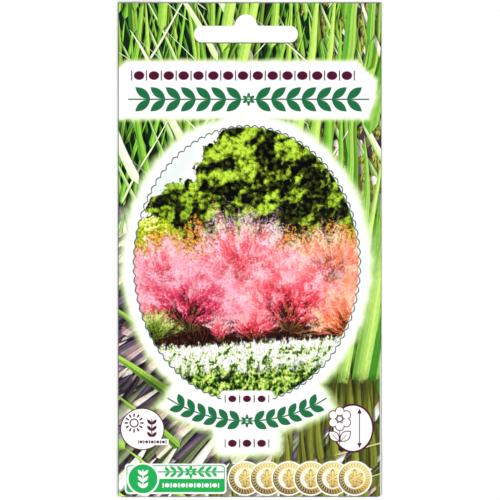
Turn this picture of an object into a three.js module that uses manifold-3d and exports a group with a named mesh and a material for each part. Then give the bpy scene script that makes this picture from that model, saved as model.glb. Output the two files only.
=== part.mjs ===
// A flat paper seed packet, lying on its back with its printed front facing up.
// One die-cut sheet is folded round into a pouch: front panel, right fold, back panel,
// left fold with a side lap tucked between the panels, bottom fold with a flap on the back.
// The header is glued shut and punched for hanging. Loose grass seeds lie in the pouch.
// Millimetres: X across the packet, +Y towards the hanging slot, +Z up out of the front.

import * as THREE from "three";
import { mergeVertices } from "three/addons/utils/BufferGeometryUtils.js";
import Module from "manifold-3d";

// ---- Driving dimensions ----

const WIDTH = 80;
const HEIGHT = 150;
const PAPER = 0.12; // thickness of the sheet
const GLUE = 0.06; // thickness of every glue line
const LAP_SLACK = 0.1; // air between the side lap and the front panel
const LAP_WIDTH = 11;
const FLAP_DEPTH = 14;
const HEADER_DEPTH = 24;
const FLAP_TAPER = 0.07; // share of its width that the flap loses towards its free edge
const LAP_CUT = 1.8; // how much shorter the lap's free edge is at each end
const LAP_MARGIN = 1; // the front stays raised this far past the lap's free edge
const LAP_RAMP = 4; // width of the front's slope down off the lap
const CORNER_NOTCH = 0.9; // how far the flap's cut starts in from the side folds
const EDGE_SHORTFALL = 0.8; // how far the back panel's cut edges stop short of the folds
const BOTTOM_REACH = 0.2; // how far the bottom fold's mid-line bulges out

const PILLOW = 1.5; // rise of the front over the seeds
const PILLOW_SIDE = 24; // distance from a side fold to the pillow's full height
const PILLOW_FOOT = 30; // the same from the bottom fold
const PILLOW_HEAD = 46; // the same from the header's glue
const STEP_RUN = 4; // length of the small ramp where the back panel climbs onto the flap

const SLOT_WIDTH = 31.6;
const SLOT_OFFSET = -1.1; // the punch sits a little left of the middle
const SLOT_DROP = 7.1; // from the top edge to the slot's straight upper side
const SLOT_BAND = 5.1; // height of the straight band
const SLOT_END_RADIUS = 2.45;
const BUMP_RADIUS = 3.3;
const BUMP_HEIGHT = 3.5;
const BUMP_FILLET = 1.0;

const SEED_COLUMNS = 5;
const SEED_ROWS = 3;
const SEED_LENGTH = 3.8;
const SEED_RADIUS = 0.36;
const SEED_FLATNESS = 0.8;
const SEED_PITCH_X = 7.6;
const SEED_PITCH_Y = 6.4;
const SEED_JITTER = 1.1;
const SEED_AREA_Y = -46; // middle of the patch where the seeds have settled
const SEED_SEAT = 0.02; // the seed lies this clear of the paper

// ---- Heights worked out from them ----

const TOP = HEIGHT / 2;
const HEADER_FOOT = TOP - HEADER_DEPTH;
const FLAP_EDGE = -TOP + FLAP_DEPTH;
const FLAP_STEP = PAPER + GLUE; // what the flap lifts the packet's lower end by
const LAP_LEVEL = PAPER + GLUE; // underside of the lap above the back panel's underside
const FRONT_RIGHT = PAPER + GLUE; // underside of the front, right of the lap
const FRONT_LEFT = LAP_LEVEL + PAPER + LAP_SLACK; // underside of the front over the lap

const LEFT_RADIUS = (FRONT_LEFT - LAP_LEVEL) / 2;
const RIGHT_RADIUS = FRONT_RIGHT / 2;
const LEFT = -WIDTH / 2 + PAPER / 2 + LEFT_RADIUS; // where the left fold begins to turn
const RIGHT = WIDTH / 2 - PAPER / 2 - RIGHT_RADIUS;
const BOTTOM = -TOP + PAPER / 2 + BOTTOM_REACH;
const LAP_EDGE = -WIDTH / 2 + LAP_WIDTH;
const RAMP_START = LAP_EDGE + LAP_MARGIN;
const RAMP_END = RAMP_START + LAP_RAMP;
const LOW_EDGE = BOTTOM + EDGE_SHORTFALL / 2; // lower cut edge of the back panel and the lap

function smoothstep(t) {
  const s = Math.min(Math.max(t, 0), 1);
  return s * s * (3 - 2 * s);
}

// Underside of the back panel: on the table, and one step up where the flap is under it.
function baseAt(y) {
  const t = (FLAP_EDGE + STEP_RUN - y) / STEP_RUN;
  return FLAP_STEP * Math.min(Math.max(t, 0), 1);
}

function pillowAt(x, y) {
  const side = smoothstep(Math.min(x - LEFT, RIGHT - x) / PILLOW_SIDE);
  const foot = smoothstep((y - BOTTOM) / PILLOW_FOOT);
  const head = smoothstep((HEADER_FOOT - y) / PILLOW_HEAD);
  return PILLOW * side * foot * head;
}

// Mid-plane of the front panel.
function frontAt(x, y) {
  const offLap = Math.min(Math.max((x - RAMP_START) / LAP_RAMP, 0), 1);
  const seat = FRONT_LEFT + (FRONT_RIGHT - FRONT_LEFT) * offLap;
  return baseAt(y) + seat + pillowAt(x, y) + PAPER / 2;
}

// ---- The blank: columns run lap, left fold, front, right fold, back ----

const FOLD_STEPS = 4;
const BOTTOM_FOLD_STEPS = 6;
const OVER_LAP_COLUMNS = 3;
const FRONT_COLUMNS = 14;
const BACK_COLUMNS = 4;
const FOOT_ROWS = 4;
const PANEL_ROWS = 20;

function steps(from, to, count) {
  return Array.from({ length: count + 1 }, (_, i) => from + ((to - from) * i) / count);
}

function blankColumns() {
  const lap = steps(LAP_EDGE, LEFT, 2).slice(0, -1);
  const turn = steps(0, Math.PI, FOLD_STEPS);
  const front = [
    ...steps(LEFT + CORNER_NOTCH, RAMP_START, OVER_LAP_COLUMNS),
    ...steps(RAMP_END, RIGHT - CORNER_NOTCH, FRONT_COLUMNS),
  ];
  const back = steps(RIGHT, -WIDTH / 2 + EDGE_SHORTFALL, BACK_COLUMNS).slice(1);
  return [
    ...lap.map((x) => ({ zone: "lap", x })),
    ...[...turn].reverse().map((angle) => ({ zone: "leftFold", angle })),
    ...front.map((x) => ({ zone: "front", x })),
    ...turn.map((angle) => ({ zone: "rightFold", angle })),
    ...back.map((x) => ({ zone: "back", x })),
  ];
}

// Rows run from the flap's free edge, round the bottom fold and up the panels.
function blankRows() {
  const flap = steps(FLAP_EDGE, BOTTOM, 2).slice(0, -1);
  const turn = steps(Math.PI, 0, BOTTOM_FOLD_STEPS);
  const panel = [
    ...steps(LOW_EDGE, FLAP_EDGE, FOOT_ROWS),
    ...steps(FLAP_EDGE + STEP_RUN, HEADER_FOOT, PANEL_ROWS),
    TOP,
  ];
  return [
    ...flap.map((y) => ({ zone: "flap", y })),
    ...turn.map((angle) => ({ zone: "bottomFold", angle })),
    ...panel.map((y) => ({ zone: "panel", y })),
  ];
}

// The x of a column as the flap and the bottom fold see it.
function frontX(column) {
  if (column.zone === "leftFold") return LEFT;
  if (column.zone === "rightFold") return RIGHT;
  return column.x;
}

// A point of the sheet's mid-surface, and the direction that its printed side faces.
function panelPoint(column, y) {
  if (column.zone === "front") {
    return [[column.x, y, frontAt(column.x, y)], [0, 0, 1]];
  }
  if (column.zone === "back") {
    return [[column.x, y, baseAt(y) + PAPER / 2], [0, 0, -1]];
  }
  if (column.zone === "lap") {
    const cut = (LAP_CUT * (column.x - LEFT)) / (LAP_EDGE - LEFT);
    const trimmed = Math.min(Math.max(y, LOW_EDGE + cut), TOP - cut);
    return [[column.x, trimmed, baseAt(y) + LAP_LEVEL + PAPER / 2], [0, 0, -1]];
  }
  const onLeft = column.zone === "leftFold";
  const radius = onLeft ? LEFT_RADIUS : RIGHT_RADIUS;
  const middle = baseAt(y) + PAPER / 2 + (onLeft ? (FRONT_LEFT + LAP_LEVEL) / 2 : FRONT_RIGHT / 2);
  const side = (onLeft ? -1 : 1) * Math.sin(column.angle);
  const up = Math.cos(column.angle);
  const x = (onLeft ? LEFT : RIGHT) + radius * side;
  return [[x, y, middle + radius * up], [side, 0, up]];
}

function bottomFoldPoint(x, angle) {
  const high = frontAt(x, BOTTOM);
  const rise = (high - PAPER / 2) / 2;
  const out = [0, -Math.sin(angle) / BOTTOM_REACH, Math.cos(angle) / rise];
  const length = Math.hypot(...out);
  const point = [x, BOTTOM - BOTTOM_REACH * Math.sin(angle), high - rise + rise * Math.cos(angle)];
  return [point, out.map((v) => v / length)];
}

function flapPoint(x, y) {
  const out = (y - BOTTOM) / FLAP_DEPTH;
  return [[x * (1 - FLAP_TAPER * out), y, PAPER / 2], [0, 0, -1]];
}

function sheetPoint(column, row) {
  if (row.zone === "flap") return flapPoint(frontX(column), row.y);
  if (row.zone === "bottomFold") return bottomFoldPoint(frontX(column), row.angle);
  return panelPoint(column, row.y);
}

// Which cells of the blank are paper: everything above the corner notches, the whole foot of
// the front panel, and the flap between the notches.
function isPaper(columns, rows, i, j) {
  if (!columns[i + 1] || !rows[j + 1] || i < 0 || j < 0) return false;
  const firstFront = columns.findIndex((c) => c.zone === "front");
  const lastFront = columns.findLastIndex((c) => c.zone === "front");
  const firstPanel = rows.findIndex((r) => r.zone === "panel");
  if (j >= firstPanel) return true;
  if (j === firstPanel - 1) return i >= firstFront - 1 && i <= lastFront;
  return i >= firstFront && i < lastFront;
}

function foldedSheet() {
  const columns = blankColumns();
  const rows = blankRows();
  const side = (sign) =>
    columns.map((column) =>
      rows.map((row) => {
        const [point, out] = sheetPoint(column, row);
        return point.map((v, axis) => v + (sign * out[axis] * PAPER) / 2);
      }),
    );
  const printed = side(1);
  const inner = side(-1);
  const corners = [];
  const quad = (a, b, c, d) => corners.push(a, b, c, a, c, d);
  const wall = (a, b) => quad(inner[a[0]][a[1]], inner[b[0]][b[1]], printed[b[0]][b[1]], printed[a[0]][a[1]]);

  for (let i = 0; i < columns.length - 1; i++) {
    for (let j = 0; j < rows.length - 1; j++) {
      if (!isPaper(columns, rows, i, j)) continue;
      quad(printed[i][j], printed[i + 1][j], printed[i + 1][j + 1], printed[i][j + 1]);
      corners.push(inner[i][j], inner[i + 1][j + 1], inner[i + 1][j]);
      corners.push(inner[i][j], inner[i][j + 1], inner[i + 1][j + 1]);
      if (!isPaper(columns, rows, i, j - 1)) wall([i, j], [i + 1, j]);
      if (!isPaper(columns, rows, i, j + 1)) wall([i + 1, j + 1], [i, j + 1]);
      if (!isPaper(columns, rows, i - 1, j)) wall([i, j + 1], [i, j]);
      if (!isPaper(columns, rows, i + 1, j)) wall([i + 1, j], [i + 1, j + 1]);
    }
  }
  const geometry = new THREE.BufferGeometry();
  geometry.setAttribute("position", new THREE.Float32BufferAttribute(corners.flat(), 3));
  return geometry;
}

// ---- The hanging slot: a round-ended band with a round bump in the middle of its upper side ----

function traceSlot(path) {
  const half = SLOT_WIDTH / 2;
  const upper = TOP - SLOT_DROP;
  const lower = upper - SLOT_BAND;
  const r = SLOT_END_RADIUS;
  const bumpMiddle = upper + BUMP_HEIGHT - BUMP_RADIUS;
  const filletUp = upper + BUMP_FILLET;
  const reach = BUMP_RADIUS + BUMP_FILLET;
  const filletOut = Math.sqrt(reach ** 2 - (filletUp - bumpMiddle) ** 2);
  const lean = Math.atan2(filletUp - bumpMiddle, filletOut); // direction from bump to fillet
  const cx = SLOT_OFFSET;
  path.moveTo(cx - half + r, lower);
  path.lineTo(cx + half - r, lower);
  path.absarc(cx + half - r, lower + r, r, -Math.PI / 2, 0, false);
  path.absarc(cx + half - r, upper - r, r, 0, Math.PI / 2, false);
  path.absarc(cx + filletOut, filletUp, BUMP_FILLET, -Math.PI / 2, Math.PI + lean, true);
  path.absarc(cx, bumpMiddle, BUMP_RADIUS, lean, Math.PI - lean, false);
  path.absarc(cx - filletOut, filletUp, BUMP_FILLET, -lean, -Math.PI / 2, true);
  path.absarc(cx - half + r, upper - r, r, Math.PI / 2, Math.PI, false);
  path.absarc(cx - half + r, lower + r, r, Math.PI, 1.5 * Math.PI, false);
  return path;
}

function plate(shape, bottom, thickness) {
  const options = { depth: thickness, bevelEnabled: false, curveSegments: 5 };
  return new THREE.ExtrudeGeometry(shape, options).translate(0, 0, bottom);
}

const wasm = await Module();
wasm.setup();

function solidOf(geometry) {
  const bare = geometry.clone();
  bare.deleteAttribute("normal");
  bare.deleteAttribute("uv");
  const merged = mergeVertices(bare, 1e-4);
  return new wasm.Manifold(
    new wasm.Mesh({
      numProp: 3,
      vertProperties: merged.attributes.position.array,
      triVerts: new Uint32Array(merged.index.array),
    }),
  );
}

function geometryOf(solid) {
  const { vertProperties, triVerts } = solid.getMesh();
  const geometry = new THREE.BufferGeometry();
  geometry.setAttribute("position", new THREE.BufferAttribute(new Float32Array(vertProperties), 3));
  geometry.setIndex(new THREE.BufferAttribute(new Uint32Array(triVerts), 1));
  return geometry;
}

function punchedSheet() {
  const punchDepth = 4;
  const punch = plate(traceSlot(new THREE.Shape()), -punchDepth / 2, punchDepth);
  return geometryOf(solidOf(foldedSheet()).subtract(solidOf(punch)));
}

// ---- Glue lines ----

function rectangle(x0, y0, x1, y1) {
  const shape = new THREE.Shape();
  shape.moveTo(x0, y0);
  shape.lineTo(x1, y0);
  shape.lineTo(x1, y1);
  shape.lineTo(x0, y1);
  shape.closePath();
  return shape;
}

const GLUE_INSET = 1.2; // the glue stays this far inside the paper's edges
const SEAM_INSET = 3; // and this far from the ends of the side seam

// The flap is flat on the table, and so is its glue.
function flapGlue() {
  const half = (WIDTH / 2) * (1 - FLAP_TAPER) - GLUE_INSET;
  return plate(rectangle(-half, LOW_EDGE + GLUE_INSET, half, FLAP_EDGE - GLUE_INSET), PAPER, GLUE);
}

// The side line follows the step where the panels climb onto the flap.
function sideGlue() {
  const x0 = -WIDTH / 2 + EDGE_SHORTFALL + GLUE_INSET;
  const x1 = LAP_EDGE - GLUE_INSET;
  const ends = [LOW_EDGE + SEAM_INSET, FLAP_EDGE, FLAP_EDGE + STEP_RUN, TOP - SEAM_INSET];
  const profile = new THREE.Shape();
  ends.forEach((y, i) => profile[i ? "lineTo" : "moveTo"](y, baseAt(y) + PAPER));
  [...ends].reverse().forEach((y) => profile.lineTo(y, baseAt(y) + PAPER + GLUE));
  profile.closePath();
  const side = new THREE.ExtrudeGeometry(profile, { depth: x1 - x0, bevelEnabled: false });
  // The profile was drawn in (y, z) and swept along what becomes x.
  const turn = new THREE.Matrix4().makeBasis(
    new THREE.Vector3(0, 1, 0),
    new THREE.Vector3(0, 0, 1),
    new THREE.Vector3(1, 0, 0),
  );
  return side.applyMatrix4(turn).translate(x0, 0, 0);
}

function headerGlue() {
  const foot = HEADER_FOOT + GLUE_INSET;
  const shape = rectangle(RAMP_END + GLUE_INSET, foot, RIGHT - GLUE_INSET, TOP - GLUE_INSET);
  shape.holes.push(traceSlot(new THREE.Path()));
  return plate(shape, PAPER, GLUE);
}

// ---- Seeds ----

// A small repeatable random source, so that the seeds always lie the same way.
function randomSource(seed) {
  let state = seed;
  return () => {
    state = (state * 1664525 + 1013904223) % 4294967296;
    return state / 4294967296;
  };
}

// A slender spindle, pointed at the tip and blunter at the base, lying along X.
function seedGeometry() {
  const outline = [
    [0, -0.5],
    [0.55, -0.44],
    [0.95, -0.26],
    [1, -0.04],
    [0.78, 0.18],
    [0.4, 0.38],
    [0, 0.5],
  ].map(([r, along]) => new THREE.Vector2(r * SEED_RADIUS, along * SEED_LENGTH));
  return new THREE.LatheGeometry(outline, 8).rotateZ(-Math.PI / 2).scale(1, 1, SEED_FLATNESS);
}

function placeSeeds(group, material) {
  const random = randomSource(11);
  const shape = seedGeometry();
  for (let k = 0; k < SEED_COLUMNS * SEED_ROWS; k++) {
    const column = (k % SEED_COLUMNS) - (SEED_COLUMNS - 1) / 2;
    const row = Math.floor(k / SEED_COLUMNS) - (SEED_ROWS - 1) / 2;
    const seed = new THREE.Mesh(shape, material);
    seed.name = "seed_" + String(k + 1).padStart(2, "0");
    const x = column * SEED_PITCH_X + (random() * 2 - 1) * SEED_JITTER;
    const y = SEED_AREA_Y + row * SEED_PITCH_Y + (random() * 2 - 1) * SEED_JITTER;
    seed.position.set(x, y, PAPER + SEED_SEAT + SEED_RADIUS * SEED_FLATNESS);
    seed.rotation.z = random() * Math.PI * 2;
    group.add(seed);
  }
}

// ---- Assembly ----

const paperMaterial = new THREE.MeshStandardMaterial({ color: 0xf4f5f1, roughness: 0.45, metalness: 0 });
const glueMaterial = new THREE.MeshStandardMaterial({ color: 0xe9e2cf, roughness: 0.5, metalness: 0 });
const seedMaterial = new THREE.MeshStandardMaterial({ color: 0x9a7446, roughness: 0.75, metalness: 0 });

function named(name, geometry, material) {
  const mesh = new THREE.Mesh(geometry, material);
  mesh.name = name;
  return mesh;
}

const packet = new THREE.Group();
packet.add(named("packet_sheet", punchedSheet(), paperMaterial));
packet.add(named("side_seam_glue", sideGlue(), glueMaterial));
packet.add(named("bottom_flap_glue", flapGlue(), glueMaterial));
packet.add(named("header_glue", headerGlue(), glueMaterial));
placeSeeds(packet, seedMaterial);

export default packet;
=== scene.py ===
"""A flat paper seed packet with a punched header, lying on its back on a pale table.

The folded sheet with its print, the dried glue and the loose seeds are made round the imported
solids. Sizes are in millimetres and become metres when a mesh is made.
"""

import inspect
from functools import partial
from math import atan2, cos, pi, radians, sin, sqrt

import bpy
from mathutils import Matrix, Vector, noise


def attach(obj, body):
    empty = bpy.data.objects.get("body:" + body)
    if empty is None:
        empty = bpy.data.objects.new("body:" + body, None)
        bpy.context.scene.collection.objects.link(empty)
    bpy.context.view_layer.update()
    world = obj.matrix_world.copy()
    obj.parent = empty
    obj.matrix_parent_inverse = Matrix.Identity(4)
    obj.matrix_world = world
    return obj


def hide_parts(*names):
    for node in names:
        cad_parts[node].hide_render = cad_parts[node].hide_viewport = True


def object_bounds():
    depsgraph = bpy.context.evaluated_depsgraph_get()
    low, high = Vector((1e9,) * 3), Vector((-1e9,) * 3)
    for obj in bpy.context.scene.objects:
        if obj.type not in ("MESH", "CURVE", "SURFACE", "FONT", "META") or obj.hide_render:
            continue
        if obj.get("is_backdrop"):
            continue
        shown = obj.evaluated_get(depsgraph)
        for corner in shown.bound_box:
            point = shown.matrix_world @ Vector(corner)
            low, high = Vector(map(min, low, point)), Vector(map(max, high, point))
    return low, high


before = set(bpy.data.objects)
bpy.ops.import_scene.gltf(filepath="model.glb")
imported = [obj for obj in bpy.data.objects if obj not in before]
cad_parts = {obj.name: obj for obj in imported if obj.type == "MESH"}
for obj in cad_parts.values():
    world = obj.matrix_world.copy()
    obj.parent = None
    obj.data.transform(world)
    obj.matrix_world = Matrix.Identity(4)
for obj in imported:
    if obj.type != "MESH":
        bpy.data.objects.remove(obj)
cad_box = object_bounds()

MM = 0.001
MM_IN_A_METRE = 1000.0

# ---- Sizes of the packet ----

WIDTH = 80
HEIGHT = 150
PAPER = 0.12
GLUE = 0.06
LAP_SLACK = 0.1
LAP_WIDTH = 11
FLAP_DEPTH = 14
HEADER_DEPTH = 24
FLAP_TAPER = 0.07
LAP_CUT = 1.8
LAP_MARGIN = 1
LAP_RAMP = 4
CORNER_NOTCH = 0.9
EDGE_SHORTFALL = 0.8
BOTTOM_REACH = 0.2

PILLOW = 1.5
PILLOW_SIDE = 24
PILLOW_FOOT = 30
PILLOW_HEAD = 46
STEP_RUN = 4

SLOT_WIDTH = 31.6
SLOT_OFFSET = -1.1
SLOT_DROP = 7.1
SLOT_BAND = 5.1
SLOT_END_RADIUS = 2.45
BUMP_RADIUS = 3.3
BUMP_HEIGHT = 3.5
BUMP_FILLET = 1.0

SEED_COLUMNS = 5
SEED_ROWS = 3
SEED_LENGTH = 3.8
SEED_RADIUS = 0.36
SEED_FLATNESS = 0.8
SEED_PITCH_X = 7.6
SEED_PITCH_Y = 6.4
SEED_JITTER = 1.1
SEED_AREA_Y = -46
SEED_SEAT = 0.02

TOP = HEIGHT / 2
HEADER_FOOT = TOP - HEADER_DEPTH
FLAP_EDGE = -TOP + FLAP_DEPTH
PLY_STEP = PAPER + GLUE
FRONT_LEFT = PLY_STEP + PAPER + LAP_SLACK
FRONT_RIGHT = PLY_STEP
LEFT_RADIUS = (FRONT_LEFT - PLY_STEP) / 2
RIGHT_RADIUS = PLY_STEP / 2
LEFT = -WIDTH / 2 + PAPER / 2 + LEFT_RADIUS
RIGHT = WIDTH / 2 - PAPER / 2 - RIGHT_RADIUS
BOTTOM = -TOP + PAPER / 2 + BOTTOM_REACH
LOW_EDGE = BOTTOM + EDGE_SHORTFALL / 2
LAP_EDGE = -WIDTH / 2 + LAP_WIDTH
RAMP_START = LAP_EDGE + LAP_MARGIN
BACK_EDGE = -WIDTH / 2 + EDGE_SHORTFALL

# The oval picture on the front, and how far out from its line the picture's own ink reaches
OVAL_X = -0.8
OVAL_Y = -4.3
OVAL_WIDE = 34.2
OVAL_HIGH = 41.7
OVAL_MARGIN = 1.4
SCALLOPS = 89
SCALLOP_HEIGHT = 0.36


# ---- Fields: numbers and colours that vary over a surface, each one output of a shader node ----


class Field:
    """One output of a shader node, which sums and products can be written with."""

    def __init__(self, socket):
        self.socket = socket

    def __add__(self, other):
        return calculate("ADD", self, other)

    def __sub__(self, other):
        return calculate("SUBTRACT", self, other)

    def __rsub__(self, other):
        return calculate("SUBTRACT", other, self)

    def __mul__(self, other):
        return calculate("MULTIPLY", self, other)

    def __truediv__(self, other):
        return calculate("DIVIDE", self, other)

    def __rtruediv__(self, other):
        return calculate("DIVIDE", other, self)

    __radd__ = __add__
    __rmul__ = __mul__


def tree_of(*terms):
    return next(term.socket.id_data for term in terms if isinstance(term, Field))


def light_of(code):
    """The colour that an ink's screen code stands for, as light."""
    parts = [int(code[i : i + 2], 16) / 255 for i in (0, 2, 4)]
    return *(c / 12.92 if c <= 0.04045 else ((c + 0.055) / 1.055) ** 2.4 for c in parts), 1.0


def grey(level):
    return level, level, level, 1.0


def feed(slot, term):
    """Links a field to a node's input, or sets the input to a number or to an ink's colour."""
    if isinstance(term, Field):
        slot.id_data.links.new(term.socket, slot)
    else:
        slot.default_value = light_of(term) if isinstance(term, str) else term


def add_node(kind, inputs, **settings):
    """Adds a shader node with its options and its inputs, by name or number. Gives its outputs."""
    node = tree_of(*inputs.values()).nodes.new("ShaderNode" + kind)
    for name, value in settings.items():
        setattr(node, name, value)
    for name, term in inputs.items():
        feed(node.inputs[name], term)
    return node.outputs


def calculate(operation, *terms):
    return Field(add_node("Math", dict(enumerate(terms)), operation=operation)[0])


whole = partial(calculate, "FLOOR")
fraction = partial(calculate, "FRACT")
size_of = partial(calculate, "ABSOLUTE")
sine = partial(calculate, "SINE")
cosine = partial(calculate, "COSINE")
power = partial(calculate, "POWER")
lesser = partial(calculate, "MINIMUM")
greater = partial(calculate, "MAXIMUM")
above = partial(calculate, "GREATER_THAN")
below = partial(calculate, "LESS_THAN")
# The angle of a direction across and along, clockwise from straight up, in radians
bearing = partial(calculate, "ARCTAN2")


def length_of(a, b):
    return calculate("SQRT", a * a + b * b)


def rise(value, low, high, kind="SMOOTHSTEP"):
    """0 at low and beyond, 1 at high and beyond, and a smooth slope between them."""
    inputs = {"Value": value, "From Min": low, "From Max": high}
    return Field(add_node("MapRange", inputs, interpolation_type=kind)["Result"])


def within(value, outside, inside):
    """1 where a value is less than inside away from 0, and 0 from outside on."""
    return rise(size_of(value), outside, inside)


def mixed(under, over, share):
    """A colour between two colours."""
    return Field(add_node("Mix", {0: share, 6: under, 7: over}, data_type="RGBA")[2])


def dimmed(colour, factor):
    """A colour times a number, which may be above 1."""
    result = mixed(grey(0.0), colour, factor)
    result.socket.node.clamp_factor = False
    return result


def painted(colour, *coats):
    """Lays coats over a colour, each an ink and the mask that it shows by."""
    for coat, mask in coats:
        colour = mixed(colour, coat, mask)
    return colour


def spot(x, y):
    return Field(add_node("CombineXYZ", {0: x, 1: y})[0])


def three_parts(colour):
    return [Field(output) for output in add_node("SeparateColor", {0: colour})]


def nudged(x, under):
    """Moves a pattern by a hair with the colour under it, so layers are worked out in turn."""
    return x + three_parts(under)[1] * 0.01


def dice(a, b, c=0.0):
    """Three random numbers for each whole a and b."""
    seed = a + b * 131.0 + c * 7919.0
    return three_parts(Field(add_node("TexWhiteNoise", {"W": seed}, noise_dimensions="1D")["Color"]))


def cloud(x, y, size, detail=2.0, roughness=0.5):
    """Soft noise from 0 to 1, with lumps of about this size."""
    inputs = {"Vector": spot(x, y), "Scale": 1.0 / size, "Detail": detail, "Roughness": roughness}
    return Field(add_node("TexNoise", inputs, noise_dimensions="2D")["Fac"])


def sway(x, y, size, reach, detail=2.0, roughness=0.5):
    """Soft noise either way from 0, which makes a straight edge ragged."""
    return (cloud(x, y, size, detail, roughness) - 0.5) * reach


def patches(x, y, size, feature):
    inputs = {"Vector": spot(x, y), "Scale": 1.0 / size}
    return add_node("TexVoronoi", inputs, voronoi_dimensions="2D", feature=feature)


def cells(x, y, size):
    """Random patches: the distance from each one's middle, and a random colour for each."""
    outputs = patches(x, y, size, "F1")
    return Field(outputs["Distance"]), Field(outputs["Color"])


def gaps(x, y, size):
    """The same patches: the distance from the nearest gap between them."""
    return Field(patches(x, y, size, "DISTANCE_TO_EDGE")["Distance"])


# ---- Effects: node groups that are built once and placed with their own values ----

NUMBER = "NodeSocketFloat"
COLOUR = "NodeSocketColor"


def effect(build):
    """Builds a node group from a function of fields, with a named input for each argument.

    The function's name then stands for placing the group in a material.
    """
    tree = bpy.data.node_groups.new(build.__name__.replace("_", " ").title(), "ShaderNodeTree")
    recipe = inspect.signature(build)
    labels = {}
    for name, argument in recipe.parameters.items():
        labels[name] = name.replace("_", " ").title()
        kind = NUMBER if argument.annotation is argument.empty else argument.annotation
        tree.interface.new_socket(labels[name], in_out="INPUT", socket_type=kind)
    tree.interface.new_socket("Result", in_out="OUTPUT", socket_type=recipe.return_annotation)
    entry = tree.nodes.new("NodeGroupInput")
    leave = tree.nodes.new("NodeGroupOutput")
    feed(leave.inputs["Result"], build(*[Field(entry.outputs[label]) for label in labels.values()]))

    def place(**values):
        node = tree_of(*values.values()).nodes.new("ShaderNodeGroup")
        node.node_tree = tree
        for name, value in values.items():
            feed(node.inputs[labels[name]], value)
        return Field(node.outputs["Result"])

    return place


@effect
def grass_blades(
    x, y, lean, pitch, length, width, fan, share, seed, edge_x, edge_y, edge_start, stagger,
    under: COLOUR, dark: COLOUR, light: COLOUR,
) -> COLOUR:
    """A layer of long tapering blades, one in each cell of a leaning grid.

    A blade grows where its root is on the right side of the region's edge.
    """
    x = nudged(x, under)
    s = sine(lean)
    c = cosine(lean)
    across = (x * c - y * s) / pitch
    column = whole(across)
    shift, tone, curl = dice(column, seed)
    shift = shift * stagger
    along = (x * s + y * c) / length + shift
    row = whole(along)
    t = fraction(along)
    tilt, size, chance = dice(column, row, seed)
    root_across = (column + 0.5) * pitch
    root_along = (row - shift) * length
    root_x = root_across * c + root_along * s
    root_y = root_along * c - root_across * s
    grows = above(root_x * edge_x + root_y * edge_y, edge_start) * below(chance, share)
    centre = 0.5 + fan * ((tilt - 0.5) * (t - 0.4) + (curl - 0.5) * t * t)
    taper = power(1.0 - t, 0.65) * rise(t, 0.0, 0.06)
    half = width / pitch * (0.3 + 0.3 * size) * taper + 0.0001
    side = (fraction(across) - centre) / half
    edge = size_of(side)
    ribs = sine(side * 9.0 + tone * 6.0) * 0.13 + rise(edge, 0.16, 0.0) * 0.25
    fold = rise(side, -0.25, 0.25) * 0.3 + side * 0.18
    lit = 0.38 + fold + ribs + (tone - 0.5) * 0.7 + (t - 0.5) * 0.35
    blade = mixed(dark, light, rise(lit, 0.0, 1.0, "LINEAR"))
    cast = within(side - 0.7, 2.1, 0.8) * grows
    under = dimmed(under, 1.0 - cast * 0.55)
    return mixed(under, blade, rise(edge, 1.06, 0.84) * grows)


@effect
def small_leaves(
    x, y, mask, sunlight, leaf, clump, relief, seed,
    under: COLOUR, dark: COLOUR, mid: COLOUR, light: COLOUR,
) -> COLOUR:
    """Bushy foliage, shown where the mask is 1: dark depths and leafy clumps lit from the upper left.

    Relief says how much each leaf stands out from the shade round it.
    """
    x = nudged(x, under) + seed * 17.0
    heap = cloud(x, y, clump, 2.0, 0.6)
    shaded = heap - cloud(x - clump * 0.14, y + clump * 0.17, clump, 2.0, 0.6)
    grain = cloud(x, y, leaf * 0.9, 3.0, 0.7) - 0.5
    distance, random_colour = cells(x + grain * leaf * 2.0, y - grain * leaf * 1.4, leaf)
    pick, tone, _ = three_parts(random_colour)
    lit = heap + shaded * 0.9 + (pick - 0.5) * 0.14 + grain * 0.5 + sunlight
    dim = rise(grain + (pick - 0.5) * 0.6, -0.05, 0.3) * 0.42
    colour = mixed(dark, mid, greater(rise(lit, 0.41, 0.57), dim))
    colour = mixed(colour, light, rise(lit, 0.51, 0.8))
    dab = rise(distance, 0.8, 0.1) * 0.8 + (tone - 0.5) * 0.5 + grain * 1.4 + 0.1
    return mixed(under, dimmed(colour, lesser(1.0 + relief * (dab - 0.6), 1.12)), mask)


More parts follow.
